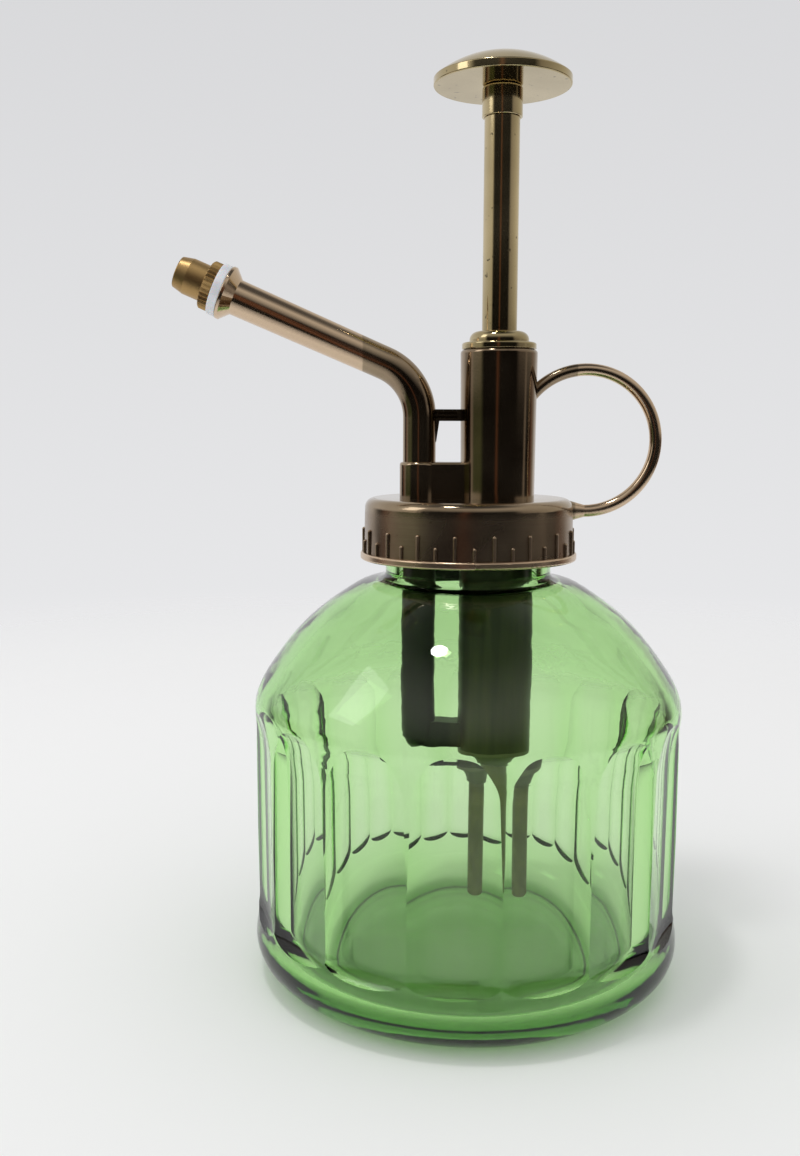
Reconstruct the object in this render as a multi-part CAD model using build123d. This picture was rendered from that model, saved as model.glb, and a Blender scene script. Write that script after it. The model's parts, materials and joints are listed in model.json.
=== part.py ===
from build123d import *
import math
import os

# Hand mister: a glass bottle with a screwed-on plated pump head.
# Millimetres, +Z up, origin on the bottle's axis at the surface it stands on.
# The spray arm reaches towards -X and the finger ring towards +X.

# Upright axes of the head
BARREL_X = 5.5
ARM_X = -9.5

# Bottle
PANELS = 16
PANEL_LOW_R = 39.4
PANEL_TOP_R = 39.8
PANEL_HOLLOW_R = 55.0
PANEL_HALF_DEG = 11.0
PANEL_TURN = 5.6
PANEL_FLOOR_Z = 12.4
PANEL_SHOULDER_Z = 51.0
BODY_R = 40.95
SHOULDER_R = 41.2
BEAD_R = 41.45
FOOT_R = 33.5
NECK_R = 15.9
NECK_BORE_R = 13.3
NECK_TOP_Z = 89.0
GLASS_FLOOR_Z = 3.3
PUNT_R = 32.5
PUNT_H = 0.4
INNER_R = 37.6
BOWL_H = 10.0

# Neck thread, right-hand, six turns to the inch
NECK_PITCH = 4.233
NECK_TURNS = 1.3
CLOSURE_TURNS = 1.0
CLOSURE_LEAD_DEG = 150.0
NECK_CREST_R = 17.3
CLOSURE_ROOT_R = 17.55
CLOSURE_CREST_R = 16.15
THREAD_ROOT_W = 1.8
THREAD_CREST_W = 0.8
THREAD_BITE = 0.3
NECK_THREAD_Z = 82.35

# Head moulding
COLLAR_R = 20.05
COLLAR_TOP_R = 19.85
COLLAR_FLOOR_Z = 81.3
COLLAR_CEILING_Z = 91.2
COLLAR_TOP_Z = 93.0
RIM_R = 20.75
RIM_TOP_Z = 82.7
RIBS = 36
RIB_R = 0.38
SHORT_RIB = 2.5
TALL_RIB = 4.6
BARREL_TOP_Z = 120.9
BARREL_BORE_R = 6.25
BOSS_R = 3.75
BOSS_TOP_Z = 99.8
BOSS_BORE_R = 2.65
BRIDGE_W = 5.8
RING_X = 22.2
RING_Z = 103.9
RING_MEAN_R = 13.4
RING_WIRE_R = 1.17

# Pump
FLANGE_R = 16.0
FLANGE_Z = 90.0
CHAMBER_R = 7.1
CHAMBER_BORE_R = 5.3
CHAMBER_FLOOR_Z = 44.0
SLEEVE_TOP_Z = 115.9
SIDE_R = 3.25
SIDE_BORE_R = 2.0
SEAT_LEDGE_Z = 82.0
PORT_Z = 47.0

# Plunger
ROD_R = 3.3
PISTON_R = 5.15
SEAL_R = 5.25
SPRING_FLOOR_Z = 52.3
SPRING_TOP_Z = 103.3
SPRING_WIRE_R = 0.45
SPRING_COIL_R = 4.3
SPRING_TURNS = 12
KNOB_R = 12.75
KNOB_FLOOR_Z = 168.5
KNOB_SHOULDER_Z = 169.9
KNOB_TOP_Z = 174.2

# Spray arm: up the boss, round a bend, then along the nozzle axis
ARM_CORNER_Z = 115.5
ARM_BEND_R = 11.0
ARM_RISE_DEG = 23.4
ARM_R = 3.15
ARM_BORE_R = 1.9
FLARE_START = 37.7
FLARE_RIM = 39.4
ARM_END = 40.05
NIPPLE_END = 46.0
STRUT_Z = 108.65

# Nozzle, by distance along its axis from the arm's corner
NOZZLE_BACK = 41.82
KNURL_FRONT = 43.7
BEVEL_START = 47.3
NOZZLE_TIP = 49.5
NOZZLE_PITCH = 0.75

os.makedirs("parts", exist_ok=True)

RISE = math.radians(ARM_RISE_DEG)
NOZZLE_AXIS = Plane(
    origin=(ARM_X, 0, ARM_CORNER_Z),
    x_dir=(0, 1, 0),
    z_dir=(-math.cos(RISE), 0, math.sin(RISE)),
)


def section(points):
    """Face in the XZ plane from (radius, height) points, each with an optional corner radius."""
    face = make_face(Polyline(*[(p[0], p[1]) for p in points], close=True))
    for point in points:
        if len(point) > 2:
            corner = min(face.vertices(), key=lambda v: (v.X - point[0]) ** 2 + (v.Y - point[1]) ** 2)
            face = fillet(corner, point[2])
    return Plane.XZ * face


def turned(points, axis_x=0.0):
    """Solid of revolution about the upright axis through axis_x."""
    return Pos(axis_x, 0, 0) * revolve(section(points), Axis.Z)


def drum(radius, low, high, axis_x=0.0):
    """Upright cylinder between two heights."""
    align = (Align.CENTER, Align.CENTER, Align.MIN)
    return Pos(axis_x, 0, low) * Cylinder(radius, high - low, align=align)


def tube(outer, inner, low, high, axis_x=0.0):
    """Upright tube between two heights."""
    return turned([(inner, low), (outer, low), (outer, high), (inner, high)], axis_x)


def ridge(root_r, crest_r, root_w, crest_w, pitch, turns):
    """Right-hand helical ridge that starts at height 0 on the +X side."""
    path = Helix(pitch=pitch, height=pitch * turns, radius=root_r)
    step = crest_r - root_r
    tooth = make_face(
        Polyline(
            (0, -root_w / 2),
            (step, -crest_w / 2),
            (step, crest_w / 2),
            (0, root_w / 2),
            close=True,
        )
    )
    start = Plane(origin=path @ 0, x_dir=(1, 0, 0), z_dir=path % 0)
    return sweep(start * tooth, path, is_frenet=True)


def panel_tool():
    """Cutter for one side panel: slightly hollow, leaning out with height and easing out at both ends."""
    low = Spline(
        (PANEL_LOW_R + 2.0, PANEL_FLOOR_Z - 1.2),
        (PANEL_LOW_R + 0.75, PANEL_FLOOR_Z),
        (PANEL_LOW_R + 0.15, PANEL_FLOOR_Z + 1.3),
        (PANEL_LOW_R, PANEL_FLOOR_Z + 3.0),
        tangents=[(-1, 1), (0, 1)],
    )
    high = Spline(
        (PANEL_TOP_R, PANEL_SHOULDER_Z - 6.0),
        (PANEL_TOP_R + 0.25, PANEL_SHOULDER_Z - 2.4),
        (PANEL_TOP_R + 0.8, PANEL_SHOULDER_Z + 0.3),
        (PANEL_TOP_R + 2.0, PANEL_SHOULDER_Z + 3.0),
        tangents=[(0, 1), (1, 1)],
    )
    side = Line(low @ 1, high @ 0)
    far = PANEL_TOP_R + 5.0
    back = Polyline(high @ 1, (far, PANEL_SHOULDER_Z + 3.0), (far, PANEL_FLOOR_Z - 1.2), low @ 0)
    profile = Plane.XZ * make_face(low + side + high + back)
    centre = Pos(PANEL_TOP_R + PANEL_HOLLOW_R, 0, 0)
    upright = Axis(centre.position, (0, 0, 1))
    sweep = revolve(profile, axis=upright, revolution_arc=2 * PANEL_HALF_DEG)
    return centre * Rot(0, 0, -PANEL_HALF_DEG) * centre.inverse() * sweep


def bottle():
    shoulder = Spline(
        (BODY_R, 47.5),
        (BODY_R + 0.05, 50.2),
        (SHOULDER_R, 53.4),
        (40.1, 57.4),
        (37.6, 61.5),
        (33.3, 67.1),
        (28.8, 71.4),
        (22.9, 75.6),
        (18.4, 77.5),
        (NECK_R, 78.6),
        tangents=[(0, 1), (-0.35, 1)],
    )
    bead = Spline(
        (FOOT_R, 0),
        (37.4, 1.55),
        (40.4, 4.4),
        (BEAD_R, 7.9),
        (41.1, 11.0),
        (BODY_R, 13.5),
        tangents=[(1, 0.1), (0, 1)],
    )
    lining = Spline(
        (INNER_R, 48.0),
        (38.1, 53.2),
        (37.2, 56.2),
        (35.1, 59.8),
        (31.0, 65.0),
        (26.9, 69.0),
        (21.4, 72.9),
        (16.6, 75.3),
        (NECK_BORE_R, 78.4),
        tangents=[(0, 1), (-0.3, 1)],
    )
    bowl = Spline(
        (0, GLASS_FLOOR_Z),
        (27.0, GLASS_FLOOR_Z + 0.15),
        (34.2, GLASS_FLOOR_Z + 1.0),
        (37.3, GLASS_FLOOR_Z + 4.2),
        (INNER_R, GLASS_FLOOR_Z + BOWL_H),
        tangents=[(1, 0), (0, 1)],
    )
    outline = (
        Line((0, GLASS_FLOOR_Z), (0, PUNT_H))
        + Spline((0, PUNT_H), (PUNT_R, 0), tangents=[(1, 0), (1, -0.03)])
        + Line((PUNT_R, 0), (FOOT_R, 0))
        + bead
        + Line((BODY_R, 13.5), (BODY_R, 47.5))
        + shoulder
        + Line((NECK_R, 78.6), (NECK_R, NECK_TOP_Z - 0.4))
        + Line((NECK_R, NECK_TOP_Z - 0.4), (NECK_R - 0.4, NECK_TOP_Z))
        + Line((NECK_R - 0.4, NECK_TOP_Z), (NECK_BORE_R + 0.3, NECK_TOP_Z))
        + Line((NECK_BORE_R + 0.3, NECK_TOP_Z), (NECK_BORE_R, NECK_TOP_Z - 0.3))
        + Line((NECK_BORE_R, NECK_TOP_Z - 0.3), (NECK_BORE_R, 78.4))
        + lining
        + Line((INNER_R, 48.0), (INNER_R, GLASS_FLOOR_Z + BOWL_H))
        + bowl
    )
    body = revolve(Plane.XZ * make_face(outline), Axis.Z)
    cutter = panel_tool()
    for index in range(PANELS):
        turn = PANEL_TURN - 90 + (index + 0.5) * 360 / PANELS
        body -= Rot(0, 0, turn) * cutter
    thread = ridge(
        NECK_R - THREAD_BITE,
        NECK_CREST_R,
        THREAD_ROOT_W + THREAD_BITE,
        THREAD_CREST_W,
        NECK_PITCH,
        NECK_TURNS,
    )
    return body + Pos(0, 0, NECK_THREAD_Z) * thread


def neck_gasket():
    return tube(FLANGE_R, NECK_BORE_R + 0.2, NECK_TOP_Z, FLANGE_Z)


def collar():
    shell = turned(
        [
            (0, COLLAR_CEILING_Z),
            (CLOSURE_ROOT_R, COLLAR_CEILING_Z),
            (CLOSURE_ROOT_R, COLLAR_FLOOR_Z + 0.7),
            (CLOSURE_ROOT_R + 0.7, COLLAR_FLOOR_Z),
            (RIM_R, COLLAR_FLOOR_Z, 0.4),
            (RIM_R, RIM_TOP_Z, 0.4),
            (COLLAR_R, RIM_TOP_Z),
            (COLLAR_TOP_R, COLLAR_TOP_Z, 1.8),
            (0, COLLAR_TOP_Z),
        ]
    )
    for index in range(RIBS):
        length = SHORT_RIB if index % 2 == 0 else TALL_RIB
        top = RIM_TOP_Z + length - RIB_R
        rib = drum(RIB_R, RIM_TOP_Z - 0.5, top) + Pos(0, 0, top) * Sphere(RIB_R)
        shell += Rot(0, 0, index * 360 / RIBS) * Pos(0, -COLLAR_R, 0) * rib
    thread = ridge(
        CLOSURE_ROOT_R + THREAD_BITE,
        CLOSURE_CREST_R,
        THREAD_ROOT_W + THREAD_BITE,
        THREAD_CREST_W,
        NECK_PITCH,
        CLOSURE_TURNS,
    )
    load_gap = 0.12
    mid_gap = (NECK_PITCH - THREAD_ROOT_W - THREAD_CREST_W) / 2
    lead = NECK_PITCH * CLOSURE_LEAD_DEG / 360
    closure_z = NECK_THREAD_Z - NECK_PITCH / 2 + mid_gap - load_gap + lead
    return shell + Pos(0, 0, closure_z) * Rot(0, 0, CLOSURE_LEAD_DEG) * thread


def finger_ring():
    """Round wire from the barrel over and down to the collar's shoulder."""
    start = math.radians(143)
    first = (RING_X + RING_MEAN_R * math.cos(start), RING_Z + RING_MEAN_R * math.sin(start))
    far = (RING_X + RING_MEAN_R, RING_Z)
    low = (RING_X, RING_Z - RING_MEAN_R)
    wire_path = Plane.XZ * (ThreePointArc(first, far, low) + Line(low, (17.0, low[1])))
    tangent = wire_path.edges()[0] % 0
    profile = Plane(origin=(first[0], 0, first[1]), z_dir=tangent) * Circle(RING_WIRE_R)
    loop = sweep(profile, wire_path)
    root_plane = Plane(origin=(17.6, 0, low[1]), x_dir=(0, 1, 0), z_dir=(1, 0, 0))
    align = (Align.CENTER, Align.CENTER, Align.MIN)
    root = root_plane * Cone(2.5, RING_WIRE_R, 4.6, align=align)
    return loop + root


def head_body():
    barrel = turned(
        [(0, 92), (7.05, 92), (7.3, BARREL_TOP_Z, 0.7), (0, BARREL_TOP_Z)],
        BARREL_X,
    )
    boss = turned([(0, 92), (BOSS_R, 92), (BOSS_R, BOSS_TOP_Z, 0.6), (0, BOSS_TOP_Z)], ARM_X)
    span = BARREL_X - ARM_X
    bridge = Pos((BARREL_X + ARM_X) / 2, 0, (92 + BOSS_TOP_Z) / 2) * Box(
        span, BRIDGE_W, BOSS_TOP_Z - 92
    )
    bridge = fillet(bridge.edges().filter_by(Axis.X).group_by(Axis.Z)[-1], 0.5)
    head = collar() + barrel + boss + bridge + finger_ring()
    head -= drum(BARREL_BORE_R, 90.5, BARREL_TOP_Z + 1, BARREL_X)
    head -= drum(BOSS_BORE_R, 90.5, BOSS_TOP_Z + 1, ARM_X)
    socket = Plane(origin=(-1.35, 0, STRUT_Z), x_dir=(0, 1, 0), z_dir=(-1, 0, 0))
    head -= socket * extrude(Rectangle(1.9, 2.3), amount=2.0)
    return head


def pump_chamber():
    flange = drum(FLANGE_R - 0.1, FLANGE_Z, COLLAR_CEILING_Z)
    chamber = drum(CHAMBER_R, CHAMBER_FLOOR_Z, FLANGE_Z, BARREL_X)
    sleeve = drum(BARREL_BORE_R - 0.05, FLANGE_Z, SLEEVE_TOP_Z, BARREL_X)
    toe_z = CHAMBER_FLOOR_Z + SIDE_R
    side = drum(SIDE_R, toe_z, FLANGE_Z, ARM_X) + Pos(ARM_X, 0, toe_z) * Sphere(SIDE_R)
    web_low = 44.6
    web_high = 48.8
    web_x = (ARM_X + BARREL_X) / 2
    web = Pos(web_x, 0, (web_low + web_high) / 2) * Box(
        BARREL_X - ARM_X, 4.6, web_high - web_low
    )
    body = flange + chamber + sleeve + side + web
    body -= drum(CHAMBER_BORE_R, CHAMBER_FLOOR_Z - 1, SLEEVE_TOP_Z + 1, BARREL_X)
    narrow = SIDE_BORE_R - 0.3
    body -= drum(narrow, PORT_Z, SEAT_LEDGE_Z, ARM_X) + Pos(ARM_X, 0, PORT_Z) * Sphere(narrow)
    body -= drum(SIDE_BORE_R, SEAT_LEDGE_Z, COLLAR_CEILING_Z + 1, ARM_X)
    port = Plane(origin=(ARM_X, 0, PORT_Z), x_dir=(0, 1, 0), z_dir=(1, 0, 0))
    body -= port * extrude(Circle(1.2), amount=BARREL_X - ARM_X)
    return body


def foot_valve():
    """Inlet housing: dip-tube socket below, ball turret above."""
    return turned(
        [
            (2.83, 39.8),
            (3.5, 39.8),
            (5.0, 42.0),
            (5.0, 42.6),
            (CHAMBER_R, 42.6, 0.3),
            (CHAMBER_R, CHAMBER_FLOOR_Z),
            (CHAMBER_BORE_R - 0.05, CHAMBER_FLOOR_Z),
            (CHAMBER_BORE_R - 0.05, 45.2),
            (3.9, 45.2),
            (3.9, 51.3),
            (2.75, 51.3),
            (2.75, 46.9),
            (1.5, 45.4),
            (1.5, 43.2),
            (2.83, 43.2),
        ],
        BARREL_X,
    )


def ball_retainer():
    cap = turned(
        [
            (1.6, 51.3),
            (3.95, 51.3),
            (3.95, 49.8),
            (4.5, 49.8),
            (4.8, 51.1),
            (4.8, SPRING_FLOOR_Z),
            (1.6, SPRING_FLOOR_Z),
        ],
        BARREL_X,
    )
    for angle in range(0, 360, 90):
        cap -= Pos(BARREL_X, 0, 0) * Rot(0, 0, angle) * Pos(2.6, 0, 0) * drum(0.45, 51, 53)
    return cap


def return_spring():
    low = SPRING_FLOOR_Z + SPRING_WIRE_R
    high = SPRING_TOP_Z - SPRING_WIRE_R
    pitch = (high - low) / SPRING_TURNS
    path = Helix(pitch=pitch, height=high - low, radius=SPRING_COIL_R)
    wire = Plane(origin=path @ 0, z_dir=path % 0) * Circle(SPRING_WIRE_R)
    return Pos(BARREL_X, 0, low) * sweep(wire, path, is_frenet=True)


def piston():
    return turned(
        [
            (2.03, 104.0),
            (PISTON_R, 104.0, 0.3),
            (PISTON_R, 106.5),
            (4.0, 106.5),
            (4.0, 109.5),
            (PISTON_R, 109.5),
            (PISTON_R, 112.0, 0.3),
            (4.6, 112.0),
            (4.6, 115.95),
            (ROD_R + 0.03, 115.95),
            (ROD_R + 0.03, 111.0),
            (2.03, 111.0),
        ],
        BARREL_X,
    )


def piston_seal():
    return turned(
        [
            (4.03, 106.55),
            (SEAL_R, 106.55),
            (SEAL_R, 107.4),
            (5.0, 108.0),
            (SEAL_R, 108.6),
            (SEAL_R, 109.45),
            (4.03, 109.45),
        ],
        BARREL_X,
    )


def plunger_rod():
    return turned(
        [
            (0, 104.6),
            (2.0, 104.6, 0.3),
            (2.0, 111.0),
            (ROD_R, 111.0),
            (ROD_R, 165.5),
            (2.0, 165.5),
            (2.0, 170.8, 0.3),
            (0, 170.8),
        ],
        BARREL_X,
    )


def knob_ferrule():
    return turned(
        [
            (ROD_R + 0.03, 163.0),
            (3.75, 163.0, 0.15),
            (3.75, KNOB_FLOOR_Z, 0.6),
            (2.03, KNOB_FLOOR_Z),
            (2.03, 165.5),
            (ROD_R + 0.03, 165.5),
        ],
        BARREL_X,
    )


def knob():
    """Thin round press button with a domed top and a blind hole for the rod."""
    spread = KNOB_TOP_Z - KNOB_SHOULDER_Z
    dome_r = (KNOB_R**2 + spread**2) / (2 * spread)
    disc = drum(KNOB_R, KNOB_FLOOR_Z, KNOB_TOP_Z + 1)
    disc &= Pos(0, 0, KNOB_TOP_Z - dome_r) * Sphere(dome_r)
    rims = disc.edges().filter_by(GeomType.CIRCLE)
    disc = fillet(rims, 0.25)
    disc -= drum(2.03, KNOB_FLOOR_Z - 1, 171.0)
    return Pos(BARREL_X, 0, 0) * disc


def gland_cap():
    bore = ROD_R + 0.06
    seat = BARREL_TOP_Z + 0.05
    return turned(
        [
            (5.2, 116.0),
            (6.2, 116.0),
            (6.2, seat),
            (7.05, seat, 0.15),
            (7.05, 122.2, 0.4),
            (5.64, 122.2),
            (5.64, 124.3, 1.6),
            (bore, 124.3),
            (bore, 119.6),
            (5.2, 119.6),
        ],
        BARREL_X,
    )


def rod_bush():
    return tube(5.15, ROD_R + 0.06, 116.0, 117.8, BARREL_X)


def rod_wiper():
    return Pos(BARREL_X, 0, 118.62) * Torus(4.13, 0.75)


def arm_path():
    """Centre line from the boss, round the bend, to the end of the arm."""
    bend = math.pi / 2 - RISE
    trim = ARM_BEND_R * math.tan(bend / 2)
    foot = (ARM_X, BOSS_TOP_Z)
    lift = (ARM_X, ARM_CORNER_Z - trim)
    slope = (-math.cos(RISE), math.sin(RISE))
    land = (ARM_X + slope[0] * trim, ARM_CORNER_Z + slope[1] * trim)
    end = (ARM_X + slope[0] * ARM_END, ARM_CORNER_Z + slope[1] * ARM_END)
    centre = (ARM_X - ARM_BEND_R, lift[1])
    half = bend / 2
    mid = (centre[0] + ARM_BEND_R * math.cos(half), centre[1] + ARM_BEND_R * math.sin(half))
    return Plane.XZ * (Line(foot, lift) + ThreePointArc(lift, mid, land) + Line(land, end))


def nozzle_turned(points):
    """Solid of revolution about the nozzle axis from (radius, distance) points."""
    return NOZZLE_AXIS * revolve(section(points), Axis.Z)


def spray_arm():
    path = arm_path()
    foot = Plane(origin=(ARM_X, 0, BOSS_TOP_Z))
    arm = sweep(foot * Circle(ARM_R), path)
    arm += nozzle_turned(
        [
            (0, 10),
            (ARM_R, 10),
            (3.4, FLARE_START),
            (5.15, FLARE_RIM),
            (5.15, ARM_END, 0.2),
            (2.65, ARM_END),
            (2.65, NIPPLE_END, 0.3),
            (0, NIPPLE_END),
        ]
    )
    thread = ridge(2.45, 2.9, 0.52, 0.16, NOZZLE_PITCH, 5.5)
    arm += NOZZLE_AXIS * Pos(0, 0, NOZZLE_BACK - 0.4) * thread
    arm += turned(
        [
            (0, 93.4),
            (2.6, 93.4, 0.3),
            (2.6, 95.6),
            (2.1, 95.6),
            (2.1, 96.6),
            (2.6, 96.6),
            (2.6, BOSS_TOP_Z),
            (2.9, BOSS_TOP_Z),
            (ARM_R, BOSS_TOP_Z + 0.4),
            (ARM_R, BOSS_TOP_Z + 1.5),
            (0, BOSS_TOP_Z + 1.5),
        ],
        ARM_X,
    )
    strut_plane = Plane(origin=(-1.4, 0, STRUT_Z), x_dir=(0, 1, 0), z_dir=(-1, 0, 0))
    strut = strut_plane * extrude(Rectangle(1.8, 2.2), amount=6.5)
    for height in (-0.38, 0.38):
        for side in (-0.9, 0.9):
            groove = strut_plane * Pos(side, height, 0.9) * Rot(0, 0, 45)
            strut -= groove * extrude(Rectangle(0.3, 0.3), amount=6.0)
    web = Plane.XZ * make_face(
        Polyline((-7.2, 103.6), (-6.3, 103.6), (-5.7, 107.7), (-7.2, 107.7), close=True)
    )
    arm += strut + Pos(0, 0.6, 0) * extrude(web, amount=1.2)
    arm -= sweep(foot * Circle(ARM_BORE_R), path)
    arm -= drum(1.3, 93, BOSS_TOP_Z + 0.2, ARM_X)
    arm -= NOZZLE_AXIS * drum(1.6, ARM_END - 1, NIPPLE_END + 1)
    return arm


def arm_o_ring():
    return Pos(ARM_X, 0, 96.1) * Torus(2.36, 0.25)


def outlet_seat():
    return turned([(0.9, 82.0), (1.95, 82.0), (1.95, 85.6), (1.75, 85.6), (0.9, 84.7)], ARM_X)


def outlet_cage():
    return tube(1.95, 1.25, 88.0, COLLAR_CEILING_Z, ARM_X)


def nozzle_washer():
    return nozzle_turned(
        [(2.98, ARM_END), (5.0, ARM_END, 0.2), (5.0, 41.8, 0.25), (2.98, 41.8)]
    )


def knurled_flange():
    teeth = 34
    points = []
    for index in range(teeth * 2):
        radius = 4.65 if index % 2 == 0 else 4.38
        angle = math.pi * index / teeth
        points.append((radius * math.cos(angle), radius * math.sin(angle)))
    star = extrude(make_face(Polyline(*points, close=True)), amount=KNURL_FRONT - NOZZLE_BACK)
    barrel_of = revolve(
        section(
            [
                (0, 0),
                (4.4, 0),
                (4.7, 0.3),
                (4.7, KNURL_FRONT - NOZZLE_BACK - 0.3),
                (4.4, KNURL_FRONT - NOZZLE_BACK),
                (0, KNURL_FRONT - NOZZLE_BACK),
            ]
        ),
        Axis.Z,
    )
    return NOZZLE_AXIS * Pos(0, 0, NOZZLE_BACK) * (star & barrel_of)


def nozzle():
    body = nozzle_turned(
        [
            (0, NOZZLE_BACK + 0.5),
            (3.48, NOZZLE_BACK + 0.5),
            (3.48, BEVEL_START),
            (2.95, NOZZLE_TIP, 0.25),
            (0, NOZZLE_TIP),
        ]
    )
    body += knurled_flange()
    body -= nozzle_turned(
        [
            (0, NOZZLE_BACK - 1),
            (3.05, NOZZLE_BACK - 1),
            (3.05, 46.2),
            (2.15, 46.2),
            (2.15, 48.3),
            (0.4, 48.3),
            (0.4, NOZZLE_TIP - 0.4),
            (0.8, NOZZLE_TIP + 0.1),
            (0, NOZZLE_TIP + 0.1),
        ]
    )
    thread = ridge(3.2, 2.78, 0.54, 0.16, NOZZLE_PITCH, 4)
    start = NOZZLE_BACK + 0.55 + NOZZLE_PITCH / 2 - 0.2
    return body + NOZZLE_AXIS * Pos(0, 0, start) * thread


def swirl_insert():
    plug = nozzle_turned([(0, 46.3), (2.05, 46.3, 0.2), (2.05, 48.2, 0.2), (0, 48.2)])
    for turn in (0, 180):
        slot = NOZZLE_AXIS * Rot(0, 0, turn) * Pos(2.0, 0, 47.2) * Rot(28, 0, 0)
        plug -= slot * Box(0.8, 0.7, 4.0)
    return plug


def save(name, solid):
    export_step(solid, "parts/" + name + ".step")


save("bottle", bottle())
save("neck_gasket", neck_gasket())
save("head_body", head_body())
save("pump_chamber", pump_chamber())
save("foot_valve", foot_valve())
save("dip_tube", tube(2.8, 1.9, 14.7, 43.2, BARREL_X))
save("inlet_ball", Pos(BARREL_X, 0, 47.37) * Sphere(2.4))
save("ball_retainer", ball_retainer())
save("return_spring", return_spring())
save("spring_washer", tube(5.1, 2.3, SPRING_TOP_Z, 103.98, BARREL_X))
save("piston", piston())
save("piston_seal", piston_seal())
save("plunger_rod", plunger_rod())
save("knob_ferrule", knob_ferrule())
save("knob", knob())
save("gland_cap", gland_cap())
save("rod_bush", rod_bush())
save("rod_wiper", rod_wiper())
save("spray_arm", spray_arm())
save("arm_o_ring", arm_o_ring())
save("outlet_seat", outlet_seat())
save("outlet_ball", Pos(ARM_X, 0, 85.81) * Sphere(1.4))
save("outlet_cage", outlet_cage())
save("nozzle_washer", nozzle_washer())
save("nozzle", nozzle())
save("swirl_insert", swirl_insert())
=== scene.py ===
import json
import math

import bpy
from mathutils import Euler, Matrix, Vector


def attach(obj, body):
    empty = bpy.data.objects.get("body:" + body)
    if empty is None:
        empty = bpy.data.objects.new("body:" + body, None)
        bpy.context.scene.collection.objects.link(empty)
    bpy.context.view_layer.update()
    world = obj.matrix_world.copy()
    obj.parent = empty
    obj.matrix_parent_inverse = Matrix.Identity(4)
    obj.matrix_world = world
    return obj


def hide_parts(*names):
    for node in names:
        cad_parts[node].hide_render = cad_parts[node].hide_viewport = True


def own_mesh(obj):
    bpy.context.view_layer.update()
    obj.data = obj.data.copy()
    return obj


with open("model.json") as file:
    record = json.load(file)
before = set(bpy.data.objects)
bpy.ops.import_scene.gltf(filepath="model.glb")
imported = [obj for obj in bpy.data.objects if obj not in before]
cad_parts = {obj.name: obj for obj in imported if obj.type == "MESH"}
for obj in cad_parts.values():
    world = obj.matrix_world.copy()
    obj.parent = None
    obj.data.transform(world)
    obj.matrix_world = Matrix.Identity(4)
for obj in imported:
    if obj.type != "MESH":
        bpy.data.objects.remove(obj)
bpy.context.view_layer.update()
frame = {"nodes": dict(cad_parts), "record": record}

NODES = frame["nodes"]
RECORD = frame["record"]
SCENE = bpy.context.scene


# ---------------------------------------------------------------- node helpers


def new_material(name):
    """An empty node material and its tree."""
    material = bpy.data.materials.new(name)
    material.use_nodes = True
    tree = material.node_tree
    tree.nodes.clear()
    return material, tree


def add(tree, kind, **values):
    """A shader node, with its properties and unlinked inputs set by name."""
    node = tree.nodes.new(kind)
    for key, value in values.items():
        if hasattr(node, key):
            setattr(node, key, value)
        else:
            node.inputs[key.replace("_", " ")].default_value = value
    return node


def noise(tree, coords, scale, detail=3.0, roughness=0.5, stretch=(1, 1, 1)):
    """Value noise in object space, stretched along the axes."""
    mapping = add(tree, "ShaderNodeMapping")
    mapping.inputs["Scale"].default_value = stretch
    tree.links.new(coords.outputs["Object"], mapping.inputs["Vector"])
    texture = add(tree, "ShaderNodeTexNoise", Scale=scale, Detail=detail, Roughness=roughness)
    tree.links.new(mapping.outputs["Vector"], texture.inputs["Vector"])
    return texture.outputs["Fac"]


def ramp(tree, source, stops):
    """Colour ramp from (position, colour) stops; a colour may be one grey number."""
    node = add(tree, "ShaderNodeValToRGB")
    elements = node.color_ramp.elements
    while len(elements) < len(stops):
        elements.new(0.5)
    for element, (position, colour) in zip(elements, stops):
        element.position = position
        rgb = (colour,) * 3 if isinstance(colour, (int, float)) else tuple(colour)
        element.color = (*rgb[:3], 1.0)
    tree.links.new(source, node.inputs["Fac"])
    return node.outputs["Color"]


def span(tree, source, low, high, to_low, to_high):
    """Map a value from low..high to to_low..to_high, clamped."""
    node = add(tree, "ShaderNodeMapRange")
    for key, value in zip(("From Min", "From Max", "To Min", "To Max"), (low, high, to_low, to_high)):
        node.inputs[key].default_value = value
    tree.links.new(source, node.inputs["Value"])
    return node.outputs["Result"]


def mix_colour(tree, factor, first, second, blend="MIX"):
    """Mix two colours, each a socket or a tuple."""
    node = add(tree, "ShaderNodeMix", data_type="RGBA", blend_type=blend)
    for socket, value in ((node.inputs[6], first), (node.inputs[7], second)):
        if isinstance(value, tuple):
            socket.default_value = (*value[:3], 1.0)
        else:
            tree.links.new(value, socket)
    if isinstance(factor, (int, float)):
        node.inputs[0].default_value = factor
    else:
        tree.links.new(factor, node.inputs[0])
    return node.outputs[2]


def bump(tree, height, distance, strength=0.5, normal=None):
    """Bump from a height, in metres, on top of another normal."""
    node = add(tree, "ShaderNodeBump")
    node.inputs["Strength"].default_value = strength
    node.inputs["Distance"].default_value = distance
    tree.links.new(height, node.inputs["Height"])
    if normal is not None:
        tree.links.new(normal, node.inputs["Normal"])
    return node.outputs["Normal"]


def finish_surface(tree, shader):
    output = add(tree, "ShaderNodeOutputMaterial")
    tree.links.new(shader, output.inputs["Surface"])
    return output


# ---------------------------------------------------------------- materials


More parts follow.
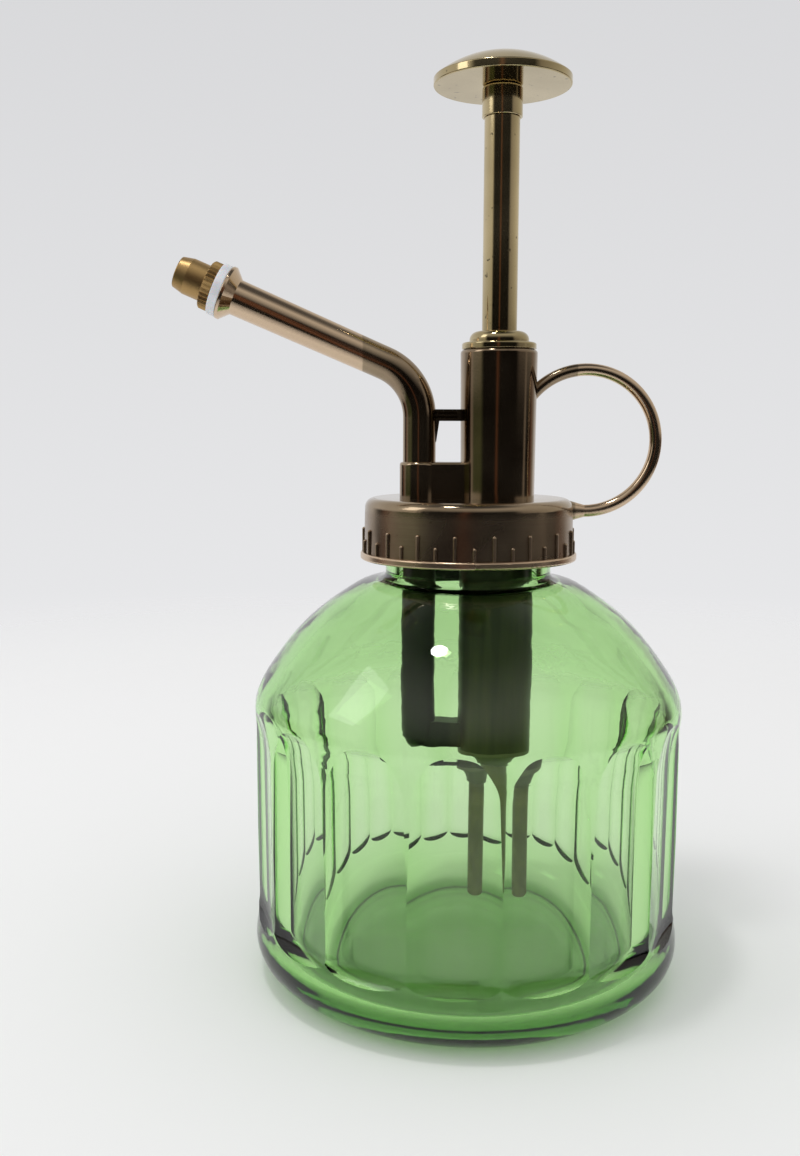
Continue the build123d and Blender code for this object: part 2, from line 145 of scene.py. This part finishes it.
def glass_material():
    """Green pressed glass, coloured by its depth, with slow waves and a few seeds."""
    material, tree = new_material("green_glass")
    coords = add(tree, "ShaderNodeTexCoord")
    waves = noise(tree, coords, 30.0, detail=1.0, stretch=(1, 1, 0.4))
    seeds = noise(tree, coords, 420.0, detail=2.0)
    normal = bump(tree, waves, 0.0012, strength=0.25)
    glass = add(tree, "ShaderNodeBsdfPrincipled", IOR=1.52)
    glass.inputs["Base Color"].default_value = (0.97, 0.995, 0.96, 1)
    glass.inputs["Transmission Weight"].default_value = 1.0
    tree.links.new(span(tree, seeds, 0.6, 0.75, 0.0, 0.01), glass.inputs["Roughness"])
    tree.links.new(normal, glass.inputs["Normal"])
    output = finish_surface(tree, glass.outputs["BSDF"])
    depth = add(tree, "ShaderNodeVolumeAbsorption")
    depth.inputs["Color"].default_value = (0.38, 0.86, 0.03, 1)
    depth.inputs["Density"].default_value = 135.0
    tree.links.new(depth.outputs["Volume"], output.inputs["Volume"])
    return material


def radial_mask(tree, coords, low, high, centre_y=0.0):
    """0 inside radius low from an upright axis, 1 beyond radius high."""
    flat = add(tree, "ShaderNodeVectorMath", operation="MULTIPLY_ADD")
    flat.inputs[1].default_value = (1, 1, 0)
    flat.inputs[2].default_value = (0, -centre_y, 0)
    tree.links.new(coords.outputs["Object"], flat.inputs[0])
    radius = add(tree, "ShaderNodeVectorMath", operation="LENGTH")
    tree.links.new(flat.outputs["Vector"], radius.inputs[0])
    return span(tree, radius.outputs["Value"], low, high, 0.0, 1.0)


def plated_material(name, dark, light, rough_low=0.07, rough_high=0.16, pitted=0.7, collar=False):
    """Antique plating: deep bronze with slow clouds, a few pits, and a painted highlight on the collar's
    outermost rim.
    """
    material, tree = new_material(name)
    coords = add(tree, "ShaderNodeTexCoord")
    cloud = noise(tree, coords, 60.0, detail=3.0, roughness=0.5)
    pits = noise(tree, coords, 900.0, detail=1.0)
    grain = noise(tree, coords, 2600.0, detail=2.0)
    tone = ramp(tree, cloud, [(0.3, dark), (0.7, light)])
    spots = span(tree, pits, 0.72, 0.77, 0.0, pitted)
    colour = mix_colour(tree, spots, tone, (0.04, 0.03, 0.02))
    rough = span(tree, cloud, 0.3, 0.7, rough_low, rough_high)
    normal = bump(tree, grain, 0.00002, strength=0.15)
    if collar:
        brushing = noise(tree, coords, 900.0, detail=3.0, stretch=(0.03, 0.03, 6.0))
        height = add(tree, "ShaderNodeSeparateXYZ")
        tree.links.new(coords.outputs["Object"], height.inputs["Vector"])
        low_part = span(tree, height.outputs["Z"], COLLAR_TOP_Z - 0.003, COLLAR_TOP_Z - 0.001, 1.0, 0.0)
        stroke = add(tree, "ShaderNodeMath", operation="MULTIPLY")
        tree.links.new(brushing, stroke.inputs[0])
        tree.links.new(low_part, stroke.inputs[1])
        shade = span(tree, stroke.outputs["Value"], 0.3, 0.7, 0.0, 0.45)
        colour = mix_colour(tree, shade, colour, (0.30, 0.21, 0.15))
        # Painted highlight: the collar's outermost rim is lightened to champagne, standing in for the light
        # its rounded edge catches
        rim_highlight = radial_mask(tree, coords, COLLAR_R + 0.0002, COLLAR_R + 0.0005)
        colour = mix_colour(tree, rim_highlight, colour, (0.62, 0.47, 0.33))
        brushed_rough = add(tree, "ShaderNodeMath", operation="MULTIPLY_ADD")
        brushed_rough.inputs[1].default_value = 0.16
        tree.links.new(low_part, brushed_rough.inputs[0])
        tree.links.new(rough, brushed_rough.inputs[2])
        rough = brushed_rough.outputs["Value"]
        normal = bump(tree, stroke.outputs["Value"], 0.00003, strength=0.3, normal=normal)
    metal = add(tree, "ShaderNodeBsdfPrincipled", Metallic=1.0)
    tree.links.new(colour, metal.inputs["Base Color"])
    tree.links.new(rough, metal.inputs["Roughness"])
    tree.links.new(normal, metal.inputs["Normal"])
    finish_surface(tree, metal.outputs["BSDF"])
    return material


def plastic_material(name, colour, roughness=0.4, wax=0.0, mottle=0.12, gloss=0.5):
    """Moulded plastic with faint mottling and a fine grain."""
    material, tree = new_material(name)
    coords = add(tree, "ShaderNodeTexCoord")
    grain = noise(tree, coords, 1800.0, detail=2.0)
    cloud = noise(tree, coords, 160.0, detail=3.0)
    shade = tuple(channel * (1 - 2 * mottle) for channel in colour)
    tone = ramp(tree, cloud, [(0.35, shade), (0.65, colour)])
    plastic = add(tree, "ShaderNodeBsdfPrincipled", IOR=1.49)
    tree.links.new(tone, plastic.inputs["Base Color"])
    plastic.inputs["Specular IOR Level"].default_value = gloss
    plastic.inputs["Subsurface Weight"].default_value = wax
    plastic.inputs["Subsurface Scale"].default_value = 0.002
    spread = span(tree, cloud, 0.3, 0.7, roughness - 0.08, roughness + 0.08)
    tree.links.new(spread, plastic.inputs["Roughness"])
    tree.links.new(bump(tree, grain, 0.00004, strength=0.3), plastic.inputs["Normal"])
    finish_surface(tree, plastic.outputs["BSDF"])
    return material


def chamber_material(name):
    """Dark olive plastic of the pump tubes: long flow streaks, lighter on the wide chamber and low down."""
    material, tree = new_material(name)
    coords = add(tree, "ShaderNodeTexCoord")
    axes = add(tree, "ShaderNodeSeparateXYZ")
    tree.links.new(coords.outputs["Object"], axes.inputs["Vector"])
    streaks = noise(tree, coords, 260.0, detail=3.0, stretch=(1, 1, 0.06))
    grain = noise(tree, coords, 1800.0, detail=2.0)
    light = ramp(tree, streaks, [(0.35, (0.022, 0.022, 0.010)), (0.65, (0.075, 0.066, 0.030))])
    wide = span(tree, axes.outputs["X"], -0.004, -0.002, 0.0, 1.0)
    low = span(tree, axes.outputs["Z"], 0.050, 0.078, 1.0, 0.45)
    share = add(tree, "ShaderNodeMath", operation="MULTIPLY")
    tree.links.new(wide, share.inputs[0])
    tree.links.new(low, share.inputs[1])
    tone = mix_colour(tree, share.outputs["Value"], (0.012, 0.013, 0.007), light)
    plastic = add(tree, "ShaderNodeBsdfPrincipled", IOR=1.49, Roughness=0.35)
    plastic.inputs["Specular IOR Level"].default_value = 0.25
    tree.links.new(tone, plastic.inputs["Base Color"])
    tree.links.new(bump(tree, grain, 0.00004, strength=0.3), plastic.inputs["Normal"])
    finish_surface(tree, plastic.outputs["BSDF"])
    return material


def steel_material(name, colour, roughness):
    """Drawn or polished steel with fine marks."""
    material, tree = new_material(name)
    coords = add(tree, "ShaderNodeTexCoord")
    marks = noise(tree, coords, 1400.0, detail=2.0)
    cloud = noise(tree, coords, 220.0, detail=3.0)
    shade = tuple(channel * 0.75 for channel in colour)
    steel = add(tree, "ShaderNodeBsdfPrincipled", Metallic=1.0)
    tree.links.new(ramp(tree, cloud, [(0.35, shade), (0.65, colour)]), steel.inputs["Base Color"])
    spread = span(tree, marks, 0.3, 0.7, roughness * 0.7, roughness * 1.4)
    tree.links.new(spread, steel.inputs["Roughness"])
    tree.links.new(bump(tree, marks, 0.00003, strength=0.2), steel.inputs["Normal"])
    finish_surface(tree, steel.outputs["BSDF"])
    return material


COLLAR_TOP_Z = 0.093
COLLAR_R = 0.02005

MATERIALS = {
    "green_glass": glass_material(),
    "bronze_plating": plated_material(
        "bronze_plating", (0.23, 0.17, 0.115), (0.40, 0.31, 0.21), pitted=0.3, collar=True
    ),
    "bronze_metal": plated_material("bronze_metal", (0.40, 0.325, 0.18), (0.60, 0.495, 0.30)),
    "nozzle_brass": plated_material(
        "nozzle_brass", (0.34, 0.21, 0.085), (0.52, 0.35, 0.15), rough_low=0.3, rough_high=0.45
    ),
    "pump_plastic": chamber_material("pump_plastic"),
    "valve_plastic": plastic_material("valve_plastic", (0.16, 0.15, 0.085), roughness=0.4, gloss=0.3),
    "piston_plastic": plastic_material("piston_plastic", (0.75, 0.75, 0.72), roughness=0.4, wax=0.2),
    "tube_plastic": plastic_material(
        "tube_plastic", (0.19, 0.165, 0.07), roughness=0.35, mottle=0.2, gloss=0.3
    ),
    "white_plastic": plastic_material("white_plastic", (0.70, 0.71, 0.74), roughness=0.3, wax=0.15),
    "seal_rubber": plastic_material("seal_rubber", (0.02, 0.02, 0.02), roughness=0.6),
    "ball_steel": steel_material("ball_steel", (0.72, 0.72, 0.74), 0.08),
    "spring_steel": steel_material("spring_steel", (0.55, 0.55, 0.56), 0.25),
}

for part in RECORD["subparts"]:
    node = NODES[part["node"]]
    node.data.materials.clear()
    node.data.materials.append(MATERIALS[part["material_slot"]])


# ---------------------------------------------------------------- return spring


PRESS = next(joint for joint in RECORD["behaviour"]["joints"] if joint["name"] == "plunger_press")
SPRING_FLOOR_Z = PRESS["deforming_nodes"][0]["fixed_end_z_m"]
SPRING_AXIS_X = 0.0055
SPRING_STAND = 0.051
SPRING_COIL_R = 0.0043
SPRING_WIRE_R = 0.00045
SPRING_TURNS = 12
RING_STEPS = 28
WIRE_SIDES = 10


def build_spring():
    """Coil spring built up from its fixed lower end and carried with the head."""
    verts = []
    steps = SPRING_TURNS * RING_STEPS
    for step in range(steps + 1):
        share = step / steps
        rise = SPRING_WIRE_R + (SPRING_STAND - 2 * SPRING_WIRE_R) * share
        turn = math.tau * SPRING_TURNS * share
        outward = Vector((math.cos(turn), math.sin(turn), 0))
        centre = Vector((SPRING_AXIS_X, 0, SPRING_FLOOR_Z + rise)) + outward * SPRING_COIL_R
        for side in range(WIRE_SIDES):
            wire_turn = math.tau * side / WIRE_SIDES
            offset = outward * math.cos(wire_turn) + Vector((0, 0, math.sin(wire_turn)))
            verts.append(centre + offset * SPRING_WIRE_R)
    faces = []
    for step in range(steps):
        for side in range(WIRE_SIDES):
            here = step * WIRE_SIDES
            after = (side + 1) % WIRE_SIDES
            above = here + WIRE_SIDES
            faces.append((here + side, here + after, above + after, above + side))
    last = steps * WIRE_SIDES
    faces.append(tuple(range(WIRE_SIDES))[::-1])
    faces.append(tuple(last + side for side in range(WIRE_SIDES)))
    mesh = bpy.data.meshes.new("spring_coil")
    mesh.from_pydata([tuple(vert) for vert in verts], [], faces)
    mesh.shade_smooth()
    mesh.update()
    spring = bpy.data.objects.new("spring_coil", mesh)
    SCENE.collection.objects.link(spring)
    spring.data.materials.append(MATERIALS["spring_steel"])
    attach(spring, "head")
    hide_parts("return_spring")
    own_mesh(spring)


build_spring()


# ---------------------------------------------------------------- stage


SWEEP_CENTRE_Y = 0.13
SWEEP_START_R = 0.205
SWEEP_END_R = 0.40


def floor_material():
    """Pale table that melts into the surround, as a seamless sweep does."""
    material, tree = new_material("floor")
    coords = add(tree, "ShaderNodeTexCoord")
    table = add(tree, "ShaderNodeBsdfDiffuse", Roughness=0.3)
    table.inputs["Color"].default_value = (0.88, 0.88, 0.875, 1)
    away = add(tree, "ShaderNodeBsdfTransparent")
    blend = add(tree, "ShaderNodeMixShader")
    edge = radial_mask(tree, coords, SWEEP_START_R, SWEEP_END_R, SWEEP_CENTRE_Y)
    tree.links.new(edge, blend.inputs["Fac"])
    tree.links.new(table.outputs["BSDF"], blend.inputs[1])
    tree.links.new(away.outputs["BSDF"], blend.inputs[2])
    finish_surface(tree, blend.outputs["Shader"])
    return material


def build_floor():
    bpy.ops.mesh.primitive_plane_add(size=1.0, location=(0, 0, 0))
    floor = bpy.context.object
    floor.name = "floor"
    floor.data.materials.append(floor_material())


def area_lamp(name, place, aim, size, power, height=None):
    data = bpy.data.lights.new(name, "AREA")
    data.shape = "RECTANGLE" if height else "DISK"
    data.size = size
    if height:
        data.size_y = height
    data.energy = power
    lamp = bpy.data.objects.new(name, data)
    SCENE.collection.objects.link(lamp)
    lamp.location = place
    lamp.rotation_euler = (Vector(aim) - Vector(place)).to_track_quat("-Z", "Y").to_euler()


def around(degrees):
    """Place on a colour ramp of a heading: 0.5 faces the camera's side, 0 and 1 lie behind the object."""
    return 0.5 + degrees / 360


WARM = (0.60, 0.57, 0.50)
DARK = (0.012, 0.011, 0.010)
COPPER = (0.17, 0.075, 0.04)
LEAF = (0.08, 0.10, 0.045)
GREY = (0.34, 0.31, 0.28)
DIM = (0.14, 0.14, 0.13)
PALE = (0.80, 0.80, 0.81)

# What polished metal sees level with it, left to right, as headings from the camera's side
LEVEL_BANDS = [
    (-180, PALE), (-133, PALE), (-120, DARK), (-114, DARK), (-108, COPPER), (-92, GREY),
    (-84, LEAF), (-60, LEAF), (-50, DARK), (-14, DARK), (-9, COPPER), (-3, DARK),
    (78, DARK), (84, GREY), (90, DARK), (106, DARK), (114, COPPER), (126, GREY), (140, PALE), (180, PALE),
]
# The same higher up, where the room is lighter
HIGH_BANDS = [
    (-180, PALE), (-120, PALE), (-62, WARM), (-52, DARK), (-12, DARK), (-6, COPPER),
    (0, DARK), (48, DARK), (60, GREY), (110, WARM), (180, PALE),
]
# What clear glass bends into view: pale behind, dark at both sides
CLEAR_BANDS = [
    (-180, PALE), (-143, PALE), (-134, DARK), (-60, DARK), (-40, DIM), (40, DIM),
    (70, DARK), (132, DARK), (142, PALE), (180, PALE),
]


# The backdrop that the camera sees, from the table's edge upwards
SKY_STOPS = [(0.0, (0.86, 0.86, 0.87)), (0.12, (0.795, 0.797, 0.81)), (1.0, (0.69, 0.692, 0.706))]
CEILING = (0.62, 0.60, 0.56)
ZENITH = (0.10, 0.10, 0.10)
SOFT_LEVEL = 0.86


def heading_ramp(tree, heading, bands):
    return ramp(tree, heading, [(around(degrees), colour) for degrees, colour in bands])


def build_world():
    """Soft even light, a pale surround to look at, and a dark room for metal and glass to mirror."""
    world = bpy.data.worlds.new("studio")
    SCENE.world = world
    world.use_nodes = True
    tree = world.node_tree
    tree.nodes.clear()
    coords = add(tree, "ShaderNodeTexCoord")
    axes = add(tree, "ShaderNodeSeparateXYZ")
    tree.links.new(coords.outputs["Generated"], axes.inputs["Vector"])
    front = add(tree, "ShaderNodeMath", operation="MULTIPLY")
    front.inputs[1].default_value = -1.0
    tree.links.new(axes.outputs["Y"], front.inputs[0])
    angle = add(tree, "ShaderNodeMath", operation="ARCTAN2")
    tree.links.new(axes.outputs["X"], angle.inputs[0])
    tree.links.new(front.outputs["Value"], angle.inputs[1])
    heading = span(tree, angle.outputs["Value"], -math.pi, math.pi, 0.0, 1.0)

    level = heading_ramp(tree, heading, LEVEL_BANDS)
    high = heading_ramp(tree, heading, HIGH_BANDS)
    room = mix_colour(tree, span(tree, axes.outputs["Z"], 0.0, 0.10, 0.0, 1.0), level, high)
    room = mix_colour(tree, span(tree, axes.outputs["Z"], 0.25, 0.75, 0.0, 1.0), room, CEILING)

    room = mix_colour(tree, span(tree, axes.outputs["Z"], 0.80, 0.95, 0.0, 1.0), room, ZENITH)

    through = heading_ramp(tree, heading, CLEAR_BANDS)
    lifted = span(tree, axes.outputs["Z"], 0.25, 0.60, 0.0, 1.0)
    through = mix_colour(tree, lifted, through, DIM)

    rise = span(tree, axes.outputs["Z"], -0.2, 0.34, 0.0, 1.0)
    sky = ramp(tree, rise, SKY_STOPS)

    path = add(tree, "ShaderNodeLightPath")
    soft = add(tree, "ShaderNodeBackground", Strength=SOFT_LEVEL)
    soft.inputs["Color"].default_value = (0.99, 0.99, 1.0, 1)
    mirrored = add(tree, "ShaderNodeBackground", Strength=1.0)
    seen = mix_colour(tree, path.outputs["Is Transmission Ray"], room, through)
    tree.links.new(seen, mirrored.inputs["Color"])
    backdrop = add(tree, "ShaderNodeBackground", Strength=1.0)
    tree.links.new(sky, backdrop.inputs["Color"])
    # Rays that have already left a matt surface are light, whether or not they pass through the glass
    direct = add(tree, "ShaderNodeMath", operation="LESS_THAN")
    direct.inputs[1].default_value = 0.5
    tree.links.new(path.outputs["Diffuse Depth"], direct.inputs[0])
    mirror = add(tree, "ShaderNodeMath", operation="MAXIMUM")
    tree.links.new(path.outputs["Is Glossy Ray"], mirror.inputs[0])
    tree.links.new(path.outputs["Is Transmission Ray"], mirror.inputs[1])
    sharp = add(tree, "ShaderNodeMath", operation="MULTIPLY")
    tree.links.new(direct.outputs["Value"], sharp.inputs[0])
    tree.links.new(mirror.outputs["Value"], sharp.inputs[1])
    lit = add(tree, "ShaderNodeMixShader")
    tree.links.new(sharp.outputs["Value"], lit.inputs["Fac"])
    tree.links.new(soft.outputs["Background"], lit.inputs[1])
    tree.links.new(mirrored.outputs["Background"], lit.inputs[2])
    whole = add(tree, "ShaderNodeMixShader")
    tree.links.new(path.outputs["Is Camera Ray"], whole.inputs["Fac"])
    tree.links.new(lit.outputs["Shader"], whole.inputs[1])
    tree.links.new(backdrop.outputs["Background"], whole.inputs[2])
    output = add(tree, "ShaderNodeOutputWorld")
    tree.links.new(whole.outputs["Shader"], output.inputs["Surface"])


CAMERA_PLACE = (-0.013119, -0.222968, 0.106245)
CAMERA_PITCH_DEG = -7.385
CAMERA_ROLL_DEG = 0.178


def build_camera():
    """Main view: from a little above the head's collar, looking slightly down."""
    data = bpy.data.cameras.new("camera")
    data.sensor_width = 36.0
    data.lens = 36.1
    data.clip_start = 0.01
    camera = bpy.data.objects.new("camera", data)
    SCENE.collection.objects.link(camera)
    place = Matrix.Translation(CAMERA_PLACE)
    tilt = Euler((math.radians(90 + CAMERA_PITCH_DEG), 0, 0)).to_matrix().to_4x4()
    roll = Matrix.Rotation(math.radians(CAMERA_ROLL_DEG), 4, "Z")
    camera.matrix_world = place @ tilt @ roll
    SCENE.camera = camera


build_floor()
build_world()
build_camera()
area_lamp("key", (-0.12, -0.10, 0.60), (0, 0, 0.08), 0.07, 0.5)
area_lamp("window", (-0.50, -0.15, 0.45), (0, 0, 0.06), 0.20, 0.35, height=0.3)

SCENE.view_settings.view_transform = "Standard"
